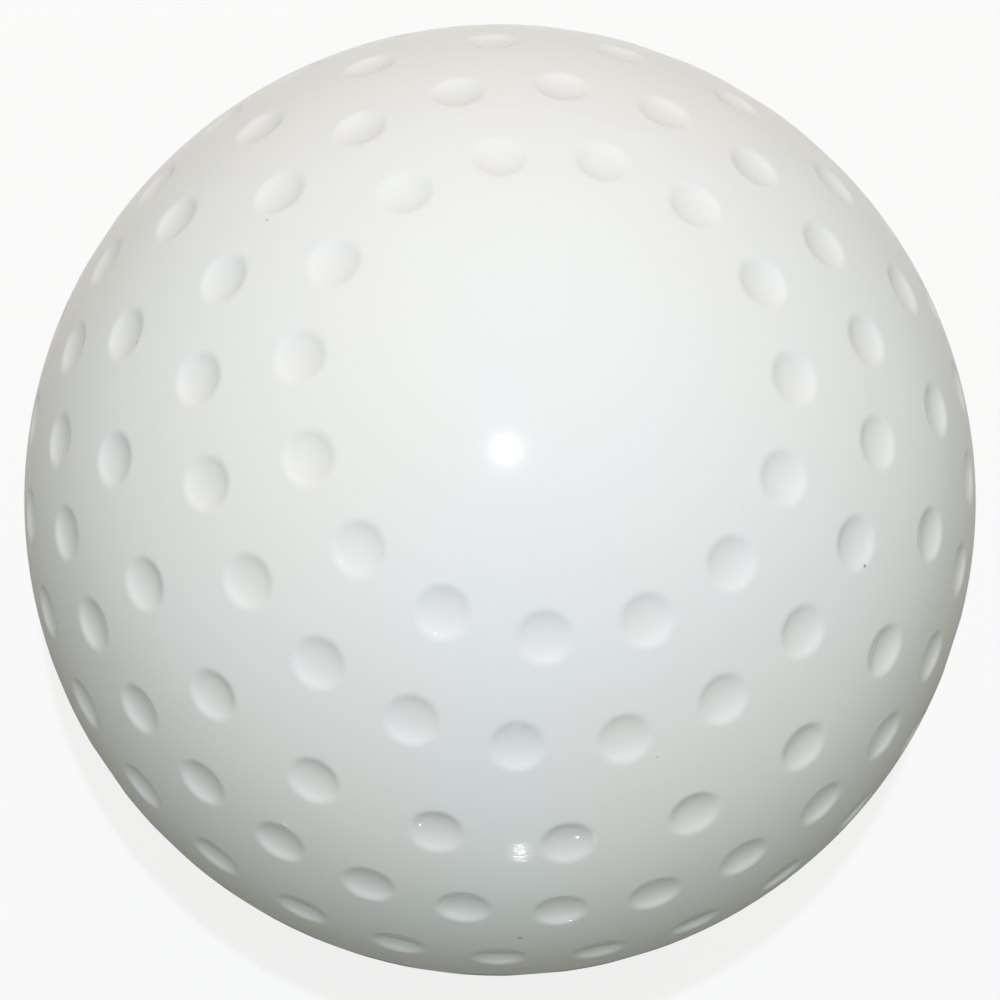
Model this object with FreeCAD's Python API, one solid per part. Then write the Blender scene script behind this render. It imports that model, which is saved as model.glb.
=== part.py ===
# A field hockey ball: one solid moulding of hard white plastic, covered in round dimples.
#
# The mould has two halves. They part on the XY plane, and the two poles of the ball lie on Z.
# Each half carries level rows of dimples, and the skin over each pole is left smooth. The
# origin is the middle of the ball.

import FreeCAD, Part
import math
import os

# Ball
ball_diameter = 73.0    # 229 mm around, where a match ball is 224 to 235 mm around

# Dimple: a shallow round bowl
dimple_width = 4.25     # across its rim
dimple_depth = 0.40     # from the round surface of the ball down to the bottom of the bowl
cutter_overrun = 0.3    # how far the tool that cuts a dimple stands out of the ball

# Rows of one half, from the parting plane to the pole: latitude in degrees, dimples in the row
dimple_rows = [
    (7.2, 30),
    (20.8, 30),
    (33.7, 20),
    (47.6, 20),
    (60.9, 15),
]

ball_radius = ball_diameter / 2
rim_radius = dimple_width / 2

# The bowl is part of a larger sphere, set by its rim and its depth
crown = ball_radius - math.sqrt(ball_radius**2 - rim_radius**2)
bowl_sag = dimple_depth - crown
bowl_radius = (rim_radius**2 + bowl_sag**2) / (2 * bowl_sag)
bowl_bottom = ball_radius - dimple_depth


def row_azimuths(row, count):
    """Azimuths of one row. Rows take turns: one has a dimple over +X, the next is half a step off."""
    step = 360 / count
    first = (row % 2) * step / 2
    return [first + step * place for place in range(count)]


def upper_places():
    """Latitude and azimuth of each dimple above the parting plane."""
    places = []
    for row, (latitude, count) in enumerate(dimple_rows):
        places += [(latitude, azimuth) for azimuth in row_azimuths(row, count)]
    return places


def lower_places():
    """The upper half turned over, half a step round, so that the rows at the parting plane interlock."""
    half_step = 180 / dimple_rows[0][1]
    return [(-latitude, half_step - azimuth) for latitude, azimuth in upper_places()]


def make_cutter():
    """The tool for one dimple, set over the upper pole: a round nose, cut flat above the ball.

    The sphere is laid on its side, so that its seam and poles miss the nose and each bowl is one
    clean face.
    """
    sphere = Part.makeSphere(bowl_radius)
    sphere.Placement = FreeCAD.Placement(
        FreeCAD.Vector(0, 0, bowl_bottom + bowl_radius),
        FreeCAD.Rotation(FreeCAD.Vector(0, 1, 0), -90),
    )
    width = 2 * bowl_radius
    height = dimple_depth + 2 * cutter_overrun
    start = bowl_bottom - cutter_overrun
    slab = Part.makeBox(width, width, height, FreeCAD.Vector(-width / 2, -width / 2, start))
    return sphere.common(slab)


def at_place(shape, latitude, azimuth):
    """A copy of a shape, carried from the upper pole to a place on the ball."""
    tip = FreeCAD.Rotation(FreeCAD.Vector(0, 1, 0), 90 - latitude)
    turn = FreeCAD.Rotation(FreeCAD.Vector(0, 0, 1), azimuth)
    placement = FreeCAD.Placement(FreeCAD.Vector(0, 0, 0), turn * tip)
    copy = shape.copy()
    copy.Placement = placement.multiply(shape.Placement)
    return copy


def make_blank():
    """The round ball before its dimples, turned so that its poles and seam lie on the parting plane.

    The skin there is smooth, so no dimple cuts across the seam.
    """
    blank = Part.makeSphere(ball_radius)
    blank.Placement.Rotation = FreeCAD.Rotation(FreeCAD.Vector(1, 1, 1), 120)
    return blank


def make_ball():
    """The blank, with every dimple cut in one step."""
    cutter = make_cutter()
    cutters = [at_place(cutter, *place) for place in upper_places() + lower_places()]
    return make_blank().cut(cutters).Solids[0]


os.makedirs("parts", exist_ok=True)
ball = make_ball()
ball.exportStep("parts/ball.step")
print("ball: dimples", len(upper_places() + lower_places()), "faces", len(ball.Faces),
      "valid", ball.isValid(), "volume", round(ball.Volume / 1000, 2), "cm3")
print("bowl radius", round(bowl_radius, 2), "mm, box", ball.optimalBoundingBox())
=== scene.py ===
# %% [markdown]
# # A field hockey ball
#
# The real ball is one moulding of hard white plastic. From a step away three things make it what it
# is: rows of small round dimples with soft rims, a glossy skin that shows a clear spot of light, and
# the smooth cap at each pole. This lesson builds the skin as a mesh, gives it its plastic and its few
# marks of play, and then sets up a pale studio with a camera that looks down on the upper pole.

# %% Load the frame
import math

import bpy
import numpy as np
from mathutils import Matrix, Vector
from mathutils.geometry import delaunay_2d_cdt


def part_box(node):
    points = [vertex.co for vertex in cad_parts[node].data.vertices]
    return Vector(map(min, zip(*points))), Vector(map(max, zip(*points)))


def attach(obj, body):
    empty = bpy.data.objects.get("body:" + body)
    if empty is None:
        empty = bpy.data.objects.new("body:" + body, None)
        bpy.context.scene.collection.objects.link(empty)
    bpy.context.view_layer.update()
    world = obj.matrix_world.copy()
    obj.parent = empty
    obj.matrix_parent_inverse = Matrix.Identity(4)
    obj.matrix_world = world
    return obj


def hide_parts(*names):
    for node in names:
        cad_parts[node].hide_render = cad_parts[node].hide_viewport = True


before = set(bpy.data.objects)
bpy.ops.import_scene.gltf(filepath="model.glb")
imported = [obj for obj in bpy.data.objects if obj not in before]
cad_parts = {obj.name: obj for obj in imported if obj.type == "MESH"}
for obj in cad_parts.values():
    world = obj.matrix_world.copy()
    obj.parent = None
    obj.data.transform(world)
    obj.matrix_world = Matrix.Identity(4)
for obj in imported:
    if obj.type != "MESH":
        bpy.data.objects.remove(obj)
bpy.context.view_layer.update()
low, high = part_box("ball")
ball_radius = max(high - low) / 2
mm = 0.001
print("ball radius", round(ball_radius / mm, 3), "mm")

# %% [markdown]
# ## Where the dimples sit
#
# The mould is made in two halves, so the dimples stand in level rows, like the parallels of a globe.
# In one half there are five rows. Every other row is turned by half a step, and the other half is the
# same pattern turned over. The dimples could be placed one by one, but a table of five latitudes and
# counts holds all 230, and no two rows can drift apart.

# %% Rows of one half
DIMPLE_ROWS = [
    # latitude in degrees, dimples in the row
    (7.2, 30),
    (20.8, 30),
    (33.7, 20),
    (47.6, 20),
    (60.9, 15),
]


def unit(latitude, azimuth):
    """The direction of a place on the ball, from its middle."""
    lat = np.radians(latitude)
    az = np.radians(azimuth)
    return np.stack([np.cos(lat) * np.cos(az), np.cos(lat) * np.sin(az), np.sin(lat)], axis=-1)


latitudes = []
azimuths = []
for row, (latitude, count) in enumerate(DIMPLE_ROWS):
    step = 360 / count
    for number in range(count):
        latitudes.append(latitude)
        azimuths.append((row % 2) * step / 2 + step * number)

upper_centres = unit(np.array(latitudes), np.array(azimuths))
print("dimples in one half", len(upper_centres))

# %% [markdown]
# ## The section of one dimple
#
# A dimple isn't a plain scoop. Its floor is shallow, its wall is steeper, and its rim is rounded over
# where the mould was polished. The section is three arcs that meet with no corner. In a dimple this
# shallow an arc is as good as a parabola, so each stretch is written by its slope: the slope grows
# along the floor, grows faster along the wall, and falls back to nothing along the rim.

# %% Section of a dimple
FLOOR_EDGE = 1.15 * mm
WALL_EDGE = 1.74 * mm
RIM_EDGE = 2.30 * mm
FLOOR_SLOPE = 0.22
WALL_SLOPE = 0.425


def section(distance):
    """How deep the skin lies below the round ball, and how steep it is, at a distance from the middle."""
    places = [0, FLOOR_EDGE, WALL_EDGE, RIM_EDGE]
    slopes = [0, FLOOR_SLOPE, WALL_SLOPE, 0]
    depth = np.zeros_like(distance)
    for start, end, first, last in zip(places, places[1:], slopes, slopes[1:]):
        # what this stretch still climbs, from the distance to its end
        run = np.clip(end - distance, 0, end - start)
        slope_here = last + (first - last) * run / (end - start)
        depth += run * (slope_here + last) / 2
    return depth, np.interp(distance, places, slopes)


print("dimple depth", round(float(section(np.array(0.0))[0]) / mm, 3), "mm")

# %% [markdown]
# ## Points where the shape needs them
#
# A subdivided globe has its points in the wrong places: a rim falls between them and comes out
# ragged. Here each dimple gets its own rings of points, closer together towards the rim. The smooth
# skin between the dimples needs few points, and a sunflower spiral spreads those evenly over a
# sphere with no pole where they crowd.

# %% Rings of points round each dimple
RING_RADII = np.array([0.5, 0.9, 1.2, 1.5, 1.72, 1.86, 2.0, 2.14, 2.28, 2.6]) * mm
RING_GROWTH = 6    # each ring has so many points more than the one inside it

east = np.cross([0, 0, 1], upper_centres)
east /= np.linalg.norm(east, axis=1, keepdims=True)
north = np.cross(upper_centres, east)

dimple_points = [upper_centres]
for ring, ring_radius in enumerate(RING_RADII, start=1):
    angle = ring_radius / ball_radius
    for turn in np.linspace(0, 2 * math.pi, RING_GROWTH * ring, endpoint=False):
        sideways = math.cos(turn) * east + math.sin(turn) * north
        dimple_points.append(math.cos(angle) * upper_centres + math.sin(angle) * sideways)
dimple_points = np.concatenate(dimple_points)
print("points in the dimples of one half", len(dimple_points))

# %% Evenly spread points between the dimples
SKIN_SPACING = 0.9 * mm
GOLDEN_TURN = math.pi * (3 - math.sqrt(5))

spiral_count = int(4 * math.pi * ball_radius**2 / SKIN_SPACING**2)
index = np.arange(spiral_count) + 0.5
spiral_height = 1 - 2 * index / spiral_count
across = np.sqrt(1 - spiral_height**2)
spiral_turn = index * GOLDEN_TURN
spiral = np.stack([across * np.cos(spiral_turn), across * np.sin(spiral_turn), spiral_height], axis=1)

nearest = (spiral @ upper_centres.T).max(axis=1)
clear_of_dimples = nearest < math.cos((RING_RADII[-1] + SKIN_SPACING / 2) / ball_radius)
above_parting = spiral[:, 2] > SKIN_SPACING / 2 / ball_radius
skin_points = spiral[clear_of_dimples & above_parting]
print("points on the smooth skin of one half", len(skin_points))

# %% Points along the parting plane
PARTING_POINTS = 360
parting_azimuths = np.arange(PARTING_POINTS) * 360 / PARTING_POINTS
parting_points = unit(0 * parting_azimuths, parting_azimuths)
print("points on the parting plane", len(parting_points))

# %% [markdown]
# ## Joining the points
#
# The best triangles through scattered points are Delaunay triangles, which Blender can find on a flat
# plane. A map from the lower pole flattens the upper half into a disc and keeps every circle a circle,
# so the best triangles on the disc are the best ones on the ball too. The lower half is then the
# upper one turned over, as in the mould, and the two share the points on the parting plane.

# %% Triangles of the upper half
TINY = 1e-9           # on a ball of radius one, points closer than this count as one
WHOLE_OUTLINE = 0     # the triangles fill the outline of all the points

upper_points = np.concatenate([parting_points, dimple_points, skin_points])
flat = upper_points[:, :2] / (1 + upper_points[:, 2:3])
joined = delaunay_2d_cdt([Vector(point) for point in flat], [], [], WHOLE_OUTLINE, TINY)
upper_faces = np.array(joined[2])
print("triangles of one half", len(upper_faces))

# %% Lower the points into the dimples
likeness = upper_points @ upper_centres.T
closest = likeness.max(axis=1)
own_centre = upper_centres[likeness.argmax(axis=1)]
distance = np.arccos(np.clip(closest, -1, 1)) * ball_radius
depth, slope = section(distance)
upper_skin = upper_points * (ball_radius - depth)[:, None]

# the skin leans towards the middle of its dimple by its slope, and the middle itself leans nowhere
inwards = own_centre - closest[:, None] * upper_points
inwards /= np.maximum(np.linalg.norm(inwards, axis=1), TINY)[:, None]
upper_normals = upper_points + slope[:, None] * inwards
print("steepest skin", round(math.degrees(math.atan(slope.max())), 1), "degrees")

# %% Turn a copy over for the lower half
half_step = math.radians(180 / DIMPLE_ROWS[0][1])

# half a turn about the level axis at azimuth half_step / 2, so that azimuth a becomes half_step - a
turn_over = Matrix.Rotation(half_step / 2, 3, "Z") @ Matrix.Rotation(math.pi, 3, "X")
turn_over = np.array(turn_over @ Matrix.Rotation(-half_step / 2, 3, "Z"))
lower_skin = upper_skin @ turn_over.T

# a point on the parting plane takes the place that the turned one falls on
turned_azimuth = np.degrees(np.arctan2(lower_skin[:PARTING_POINTS, 1], lower_skin[:PARTING_POINTS, 0]))
shared = np.round(turned_azimuth * PARTING_POINTS / 360).astype(int) % PARTING_POINTS
renumber = np.arange(len(upper_skin)) + len(upper_skin) - PARTING_POINTS
renumber[:PARTING_POINTS] = shared
lower_faces = renumber[upper_faces]

points = np.concatenate([upper_skin, lower_skin[PARTING_POINTS:]])
normals = np.concatenate([upper_normals, (upper_normals @ turn_over.T)[PARTING_POINTS:]])
faces = np.concatenate([upper_faces, lower_faces])
depths = np.concatenate([depth, depth[PARTING_POINTS:]])
print("points", len(points), "triangles", len(faces))

# %% The ball's mesh
skin = bpy.data.meshes.new("ball_skin")
skin.from_pydata(points.tolist(), [], faces.tolist())
skin.shade_smooth()
dimple_depth = skin.attributes.new("dimple_depth", "FLOAT", "POINT")
dimple_depth.data.foreach_set("value", (depths / depths.max()).astype(np.float32))
skin.validate()
skin.normals_split_custom_set_from_vertices(normals / np.linalg.norm(normals, axis=1, keepdims=True))

ball = bpy.data.objects.new("ball_skin", skin)
bpy.context.scene.collection.objects.link(ball)
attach(ball, "root")
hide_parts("ball")
print("open edges", len(skin.edges) * 2 - len(faces) * 3)

# %% [markdown]
# ## The camera
#
# The camera looks straight at the middle of the ball, from about ten radii away. It starts above the
# upper pole, with +X to the right and +Y up in the picture. Then it is tipped and swung until the pole
# sits up and to the right of the middle, as it does in the photograph. A small mark could be placed by
# trial and error, but it is simpler to ask which place on the ball a pixel of the picture shows.

# %% Camera
PICTURE = 1000                 # pixels across
OUTLINE_RADIUS = 475.8         # pixels from the middle of the picture to the edge of the ball
CAMERA_DISTANCE = 10.3 * ball_radius
NEAREST_SEEN = 10 * mm
PATTERN_TURN = math.radians(-3.6)
POLE_UP = math.radians(13.79)
POLE_RIGHT = math.radians(6.31)

facing = Matrix.Rotation(PATTERN_TURN, 3, "Z") @ Matrix.Rotation(POLE_UP, 3, "X")
facing = facing @ Matrix.Rotation(-POLE_RIGHT, 3, "Y")
right, up, back = facing.col

outline_angle = math.asin(ball_radius / CAMERA_DISTANCE)
half_view = math.atan(math.tan(outline_angle) * PICTURE / 2 / OUTLINE_RADIUS)

camera_data = bpy.data.cameras.new("camera")
camera_data.angle = 2 * half_view
camera_data.clip_start = NEAREST_SEEN
camera = bpy.data.objects.new("camera", camera_data)
camera.matrix_world = Matrix.Translation(back * CAMERA_DISTANCE) @ facing.to_4x4()
bpy.context.scene.collection.objects.link(camera)
bpy.context.scene.camera = camera
print("camera height", round(camera.location.z / mm), "mm, view", round(math.degrees(2 * half_view), 2))


# %% The place that a pixel shows
def on_ball(pixel):
    """The place on the round ball that a pixel of the picture shows."""
    scale = 2 * math.tan(half_view) / PICTURE
    sideways = (pixel[0] - PICTURE / 2) * scale
    upwards = (PICTURE / 2 - pixel[1]) * scale
    ray = (facing @ Vector((sideways, upwards, -1))).normalized()
    start = back * CAMERA_DISTANCE
    middle = -start.dot(ray)
    reach = middle - math.sqrt(ball_radius**2 - start.length_squared + middle**2)
    return start + ray * reach


picture_middle = (PICTURE / 2, PICTURE / 2)
print("middle of the picture", [round(value / mm, 1) for value in on_ball(picture_middle)], "mm")

# %% [markdown]
# ## The plastic
#
# Hard white plastic has one cool white body, which turns a little warmer here and there. One flat
# colour would look painted on, so soft noise blends two whites in patches as wide as a thumb. All of it
# is worked out from places on the ball, so it stays put when the camera moves.

# %% An empty material
def new_material(name):
    """A material with no nodes yet, and its tree of nodes."""
    material = bpy.data.materials.new(name)
    material.use_nodes = True
    material.node_tree.nodes.clear()
    return material, material.node_tree


plastic, tree = new_material("white_plastic")
print("material", plastic.name)


# %% Places on the skin
def add(tree, kind, inputs=None, **settings):
    """A node, with its settings and its input values or links."""
    node = tree.nodes.new(kind)
    for name, value in settings.items():
        setattr(node, name, value)
    for name, value in (inputs or {}).items():
        if isinstance(value, bpy.types.NodeSocket):
            tree.links.new(value, node.inputs[name])
        else:
            node.inputs[name].default_value = value
    return node


on_skin = add(tree, "ShaderNodeTexCoord").outputs["Object"]
print("places come from", on_skin.node.name)

# %% Patches
PATCH_SIZE = 22 * mm
PATCH_LEVELS = (0.35, 0.65)    # the levels of noise between which a patch begins and is full


def noise(tree, place, size, detail=2):
    """Soft noise whose spots are about so many metres across."""
    inputs = {"Vector": place, "Scale": 1 / size, "Detail": detail}
    return add(tree, "ShaderNodeTexNoise", inputs).outputs["Fac"]


def ramp(tree, value, start, end, first, last):
    """A value that goes from first to last as another value goes from start to end."""
    inputs = {0: value, 1: start, 2: end, 3: first, 4: last}
    return add(tree, "ShaderNodeMapRange", inputs, interpolation_type="SMOOTHSTEP").outputs[0]


patches = ramp(tree, noise(tree, on_skin, PATCH_SIZE), *PATCH_LEVELS, 0, 1)
print("nodes of the patches", len(tree.nodes))

# %% Body colour
COOL_WHITE = (0.83, 0.86, 0.86, 1)
WARM_WHITE = (0.84, 0.855, 0.835, 1)


def blend(tree, amount, first, second):
    """A colour that goes from first to second as an amount goes from nothing to one."""
    # a Mix node has sockets for several kinds of value: colours go in at 6 and 7 and come out at 2
    return add(tree, "ShaderNodeMix", {0: amount, 6: first, 7: second}, data_type="RGBA").outputs[2]


colour = blend(tree, patches, COOL_WHITE, WARM_WHITE)
print("nodes with the body colour", len(tree.nodes))

# %% [markdown]
# ## Marks of play
#
# A ball that has been played with isn't clean: a few dark specks are pressed into the skin. The
# dimples are also tinted a little darker and yellower the deeper the skin lies. The mesh already
# knows how deep each point lies, so the tint follows that depth, and noise makes it uneven. A speck
# is a round spot of dirt round the place that a pixel shows, with a soft edge.

# %% Darker tint towards the bottom of each dimple
# the colour that the skin is tinted towards at the bottom of a dimple
DEEP_TINT = (0.62, 0.62, 0.52, 1)
DEEP_TINT_SIZE = 6 * mm
DEEP_TINT_LEVELS = (0.35, 0.75)
DEEP_TINT_SHARES = (0.02, 0.10)     # how much of the colour is the darker tint at the bottom of a dimple


def combine(tree, kind, first, second):
    """Two numbers made into one, such as by multiplying them."""
    return add(tree, "ShaderNodeMath", {0: first, 1: second}, operation=kind).outputs[0]


in_dimple = add(tree, "ShaderNodeAttribute", attribute_name="dimple_depth").outputs["Fac"]
deep_tint = ramp(tree, noise(tree, on_skin, DEEP_TINT_SIZE, detail=4), *DEEP_TINT_LEVELS, *DEEP_TINT_SHARES)
# the skin is tinted darker and yellower the deeper it lies in a dimple
colour = blend(tree, combine(tree, "MULTIPLY", in_dimple, deep_tint), colour, DEEP_TINT)
print("nodes with the film", len(tree.nodes))

# %% Specks
SPECK = (0.07, 0.065, 0.055, 1)
SPECK_CORE = 0.25    # a speck has its full strength out to this share of its size
SPECK_END = 0.6      # and none from this share of its size

SPECKS = [
    # pixel in the picture, size across, strength
    ((865, 566), 0.29 * mm, 0.65),
    ((267, 220), 0.34 * mm, 0.25),
    ((520, 938), 0.50 * mm, 0.45),
    ((280, 825), 0.34 * mm, 0.22),
    ((381, 553), 0.32 * mm, 0.22),
    ((136, 342), 0.45 * mm, 0.30),
    ((657, 757), 0.24 * mm, 0.20),
]


def measure(tree, kind, first, second):
    """A number measured from two vectors, such as how far apart they are."""
    return add(tree, "ShaderNodeVectorMath", {0: first, 1: second}, operation=kind).outputs["Value"]


for pixel, size, strength in SPECKS:
    gap = measure(tree, "DISTANCE", on_skin, on_ball(pixel))
    speck = ramp(tree, gap, size * SPECK_CORE, size * SPECK_END, strength, 0)
    colour = blend(tree, speck, colour, SPECK)
print("specks", len(SPECKS))

# %% [markdown]
# ## A scuff and a nub
#
# Low on the ball a scuff of fine level scratches breaks a glint into streaks, and a nub of plastic
# stands on the rim of one dimple. Both are thinner than a hair. Cutting them into the mesh would take
# a great many points, so they are bumps, which tilt the skin for the light alone. Scratches are noise
# with its spots pulled long: long steps across the picture and short ones up it.

# %% Scratches of the scuff, and the nub
SCUFF = (520, 852)
SCUFF_REACH = 1.6 * mm
SCRATCH_LENGTH = 1.0 * mm
SCRATCH_WIDTH = 0.18 * mm
SCRATCH_DEPTH = 0.022 * mm
NUB = (285, 826)
NUB_REACH = 0.32 * mm
NUB_HEIGHT = 0.05 * mm


def near(tree, place, pixel, reach):
    """One at the place that a pixel shows, falling to nothing at some distance from it."""
    return ramp(tree, measure(tree, "DISTANCE", place, on_ball(pixel)), 0, reach, 1, 0)


def bump(tree, height, distance, **normal):
    """The direction of the skin, tilted as if it rose by a distance where the height is one."""
    inputs = {"Height": height, "Distance": distance, "Strength": 1.0, **normal}
    return add(tree, "ShaderNodeBump", inputs).outputs["Normal"]


stretched = add(tree, "ShaderNodeCombineXYZ", {
    "X": measure(tree, "DOT_PRODUCT", on_skin, right / SCRATCH_LENGTH),
    "Y": measure(tree, "DOT_PRODUCT", on_skin, up / SCRATCH_WIDTH),
}).outputs["Vector"]
in_scuff = near(tree, on_skin, SCUFF, SCUFF_REACH)
scratches = combine(tree, "MULTIPLY", noise(tree, stretched, size=1), in_scuff)
relief = bump(tree, scratches, SCRATCH_DEPTH)
relief = bump(tree, near(tree, on_skin, NUB, NUB_REACH), NUB_HEIGHT, Normal=relief)
print("nodes with the scuff and the nub", len(tree.nodes))

# %% [markdown]
# ## The gloss
#
# Moulded plastic has a clear shine that is never quite even. Its roughness varies a little, and rises
# where the skin is scuffed and in a few rubbed spots, where the real ball shows no glint. The skin is
# slightly wavy too, by a few thousandths of a millimetre, which breaks the edges of the reflections. A
# thin, rougher coat over the plastic adds the faint haze round the spot of light. More roughness in the
# plastic itself would give haze as well, but it would blur the spot.

# %% Roughness
SHINE_SIZE = 9 * mm
SHINE_LEVELS = (0.3, 0.7)
ROUGHNESS = (0.035, 0.065)

RUBBED_PLACES = [
    # pixel in the picture, how far it reaches, the nearness at which it is rubbed right through, roughness
    (SCUFF, 1.8 * mm, 0.5, 0.13),
    ((517, 725), 0.7 * mm, 0.6, 0.3),
    ((596, 838), 0.7 * mm, 0.6, 0.3),
    ((410, 824), 0.7 * mm, 0.6, 0.3),
    ((451, 914), 0.7 * mm, 0.6, 0.3),
]

roughness = ramp(tree, noise(tree, on_skin, SHINE_SIZE, detail=4), *SHINE_LEVELS, *ROUGHNESS)
for pixel, reach, through, rubbed in RUBBED_PLACES:
    roughness = ramp(tree, near(tree, on_skin, pixel, reach), 0, through, roughness, rubbed)
print("nodes with the roughness", len(tree.nodes))

# %% Waves of the skin
WAVE_SIZE = 1.4 * mm
WAVE_HEIGHT = 0.006 * mm

relief = bump(tree, noise(tree, on_skin, WAVE_SIZE, detail=3), WAVE_HEIGHT, Normal=relief)
print("nodes with the waves", len(tree.nodes))

# %% The finished plastic
PLASTIC_IOR = 1.47
HAZE_IOR = 1.4
HAZE_SHARE = 0.1
HAZE_ROUGHNESS = 0.16

shader = add(tree, "ShaderNodeBsdfPrincipled", {
    "Base Color": colour,
    "Roughness": roughness,
    "IOR": PLASTIC_IOR,
    "Normal": relief,
    "Coat Weight": HAZE_SHARE,
    "Coat Roughness": HAZE_ROUGHNESS,
    "Coat IOR": HAZE_IOR,
    "Coat Normal": relief,
})
add(tree, "ShaderNodeOutputMaterial", {"Surface": shader.outputs["BSDF"]})
skin.materials.append(plastic)
print("nodes of the plastic", len(tree.nodes))

# %% [markdown]
# ## The studio
#
# The real ball is shown on white, yet it is darker and a little green low down, so the white round it
# can't be what lights it. The room here is white to the camera and in the gloss, and sheds a light of
# its own colours: warm and bright from the top of the picture, dim and greenish from its foot. A Light
# Path node tells the rays apart. The floor does the same and keeps a soft shadow.
#
# Close to the ball the gloss sees less of the floor's white, least of all low in the picture, as round
# a real ball that shades what it stands on. Further off the floor fades to the white of the room, or
# its far edge would show in the gloss as a line.

# %% Floor
FLOOR_SIZE = 4.0

corner = FLOOR_SIZE / 2
floor_mesh = bpy.data.meshes.new("floor")
floor_mesh.from_pydata(
    [(-corner, -corner, 0), (corner, -corner, 0), (corner, corner, 0), (-corner, corner, 0)],
    [], [(0, 1, 2, 3)],
)
floor = bpy.data.objects.new("floor", floor_mesh)
floor.location.z = -ball_radius
bpy.context.scene.collection.objects.link(floor)
print("floor", FLOOR_SIZE, "m square, at", round(floor.location.z / mm, 1), "mm")

# %% How much of the floor's white the gloss sees
HEADINGS = (-0.4, 0.9)            # from low in the picture to high in it, seen from the middle of the ball
MIRRORED_SHARES = (0.05, 0.70)    # how much white the gloss sees of the close floor, low and high
CLOSE = 0.38                      # the ball's radius over the distance to the floor, where that is close

floor_material, tree = new_material("pale_floor")
on_floor = add(tree, "ShaderNodeNewGeometry").outputs["Position"]
heading = add(tree, "ShaderNodeVectorMath", {0: on_floor}, operation="NORMALIZE").outputs["Vector"]
close_share = ramp(tree, measure(tree, "DOT_PRODUCT", heading, up), *HEADINGS, *MIRRORED_SHARES)

floor_distance = add(tree, "ShaderNodeVectorMath", {0: on_floor}, operation="LENGTH").outputs["Value"]
closeness = combine(tree, "DIVIDE", ball_radius, floor_distance)
mirrored_share = ramp(tree, closeness, 0, CLOSE, 1, close_share)
print("nodes of the floor's share", len(tree.nodes))


# %% How much of the white each ray sees
def white_share(tree, mirrored_share):
    """One for what the camera sees, a given share for what gloss and glass see, nothing for the rest."""
    rays = add(tree, "ShaderNodeLightPath").outputs
    mirrored = combine(tree, "MAXIMUM", rays["Is Glossy Ray"], rays["Is Transmission Ray"])
    mirrored = combine(tree, "MULTIPLY", mirrored, mirrored_share)
    return combine(tree, "MAXIMUM", rays["Is Camera Ray"], mirrored)


floor_white = white_share(tree, mirrored_share)
print("nodes with the rays", len(tree.nodes))

# %% Paint of the floor
WHITE = (1, 1, 1, 1)
FLOOR_PALE = (0.8, 0.8, 0.8, 1)
FLOOR_BOUNCE = (0.26, 0.25, 0.215, 1)
GLOW_SHARE = 0.82              # this much of the white is glow, and the rest takes the shadow

floor_colour = blend(tree, floor_white, FLOOR_BOUNCE, FLOOR_PALE)
paint = add(tree, "ShaderNodeBsdfDiffuse", {"Color": floor_colour}).outputs["BSDF"]
glow = add(tree, "ShaderNodeEmission", {"Color": WHITE, "Strength": 1.0}).outputs["Emission"]
glow_share = combine(tree, "MULTIPLY", floor_white, GLOW_SHARE)
painted = add(tree, "ShaderNodeMixShader", {0: glow_share, 1: paint, 2: glow}).outputs["Shader"]
add(tree, "ShaderNodeOutputMaterial", {"Surface": painted})
floor_mesh.materials.append(floor_material)
print("nodes of the floor", len(tree.nodes))

# %% Room
ROOM_ABOVE = (0.81, 0.72, 0.60, 1)
ROOM_BELOW = (0.277, 0.33, 0.280, 1)
ROOM_HEIGHTS = (-0.1, 1)       # from just below the middle of the picture to straight up it

world = bpy.data.worlds.new("room")
world.use_nodes = True
bpy.context.scene.world = world
tree = world.node_tree
tree.nodes.clear()
looking = add(tree, "ShaderNodeTexCoord").outputs["Generated"]
room_height = measure(tree, "DOT_PRODUCT", looking, up)
room_colour = blend(tree, ramp(tree, room_height, *ROOM_HEIGHTS, 0, 1), ROOM_BELOW, ROOM_ABOVE)
room_colour = blend(tree, white_share(tree, 1), room_colour, WHITE)
room = add(tree, "ShaderNodeBackground", {"Color": room_colour, "Strength": 1.0})
add(tree, "ShaderNodeOutputWorld", {"Surface": room.outputs[0]})
print("nodes of the room", len(tree.nodes))

# %% [markdown]
# ## The lamps
#
# A glossy ball shows each lamp as a spot, and the spot says where the lamp is: the skin there faces
# half way between the camera and the lamp. So each lamp is placed from the pixel of its spot. The main
# one is the flash beside the camera, small and a metre off, which lights the side that the picture
# shows. The other only makes the glint on the scuff. It is tiny and close, and its beam is so narrow
# that it lights nothing else.

# %% Where a lamp stands
FLASH_SPOT = (506, 451)
FLASH_DISTANCE = 1.0


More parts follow.
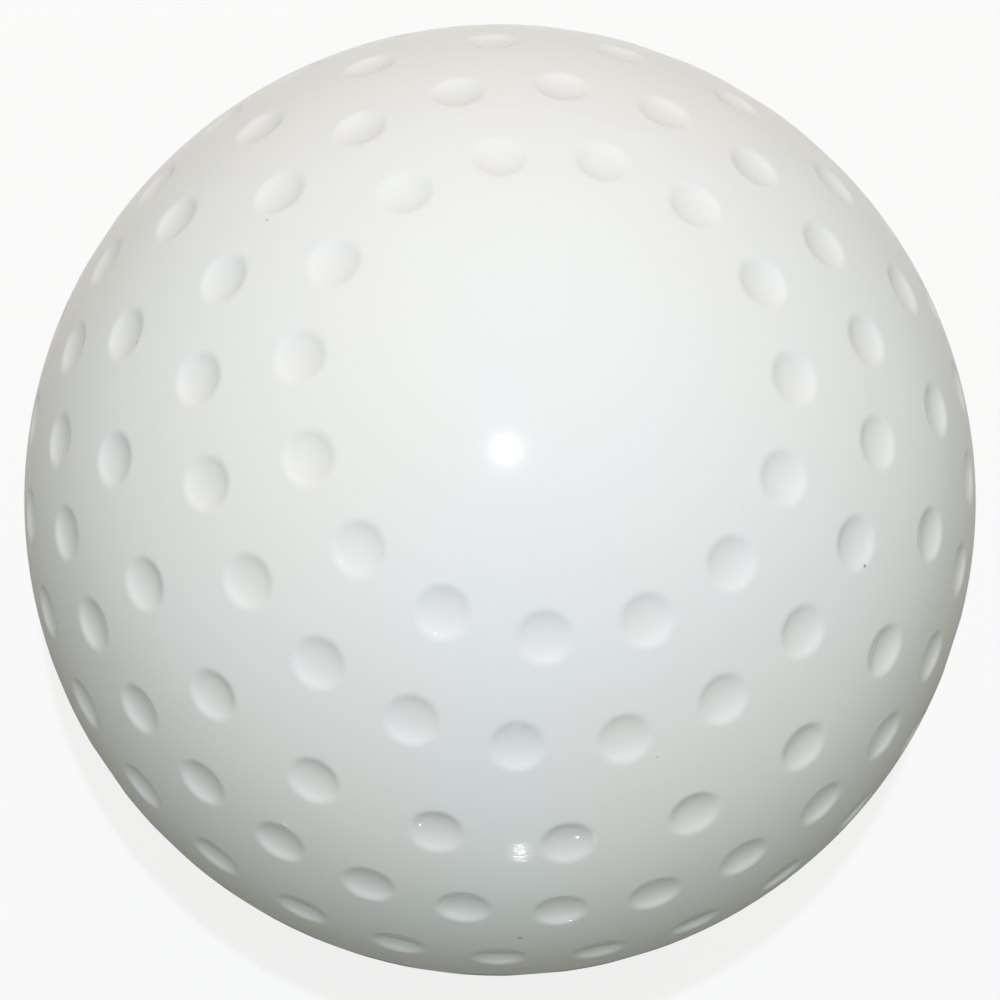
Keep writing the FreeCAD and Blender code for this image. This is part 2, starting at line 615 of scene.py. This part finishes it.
def lamp_direction(pixel):
    """The direction from the ball to a lamp whose reflection shows at a pixel."""
    place = on_ball(pixel)
    normal = place.normalized()
    to_camera = (camera.location - place).normalized()
    return 2 * normal.dot(to_camera) * normal - to_camera


flash_place = lamp_direction(FLASH_SPOT) * FLASH_DISTANCE
print("flash at", [round(value, 3) for value in flash_place], "m")

# %% Flash
FLASH_SIZE = (0.02, 0.02)
FLASH_WATTS = 6.1
FLASH_COLOUR = (0.885, 0.865, 0.97)


def oval_lamp(name, place, target, size, watts):
    """A flat oval lamp that faces a target, out of the camera's sight."""
    lamp_data = bpy.data.lights.new(name, "AREA")
    lamp_data.shape = "ELLIPSE"
    lamp_data.size, lamp_data.size_y = size
    lamp_data.energy = watts
    lamp = bpy.data.objects.new(name, lamp_data)
    lamp.location = place
    lamp.rotation_euler = (place - target).to_track_quat("Z", "Y").to_euler()
    lamp.visible_camera = False
    bpy.context.scene.collection.objects.link(lamp)
    return lamp_data


flash = oval_lamp("flash", flash_place, Vector((0, 0, 0)), FLASH_SIZE, FLASH_WATTS)
flash.color = FLASH_COLOUR
print("flash", FLASH_WATTS, "W")

# %% Low lamp for the glint on the scuff
LOW_SPOT = (520, 853)
LOW_DISTANCE = 0.15
LOW_SIZE = (0.006, 0.009)
LOW_WATTS = 0.000022
LOW_SPREAD = math.radians(10)

low_spot = on_ball(LOW_SPOT)
low_place = low_spot + lamp_direction(LOW_SPOT) * LOW_DISTANCE
low_lamp = oval_lamp("low", low_place, low_spot, LOW_SIZE, LOW_WATTS)
low_lamp.spread = LOW_SPREAD
print("low lamp at", [round(value, 3) for value in low_place], "m")

# %% [markdown]
# ## The view
#
# The Standard view shows each colour about as it is written, while Blender's usual view would grey the
# whites.

# %% View of the picture
bpy.context.scene.view_settings.view_transform = "Standard"
print("view", bpy.context.scene.view_settings.view_transform)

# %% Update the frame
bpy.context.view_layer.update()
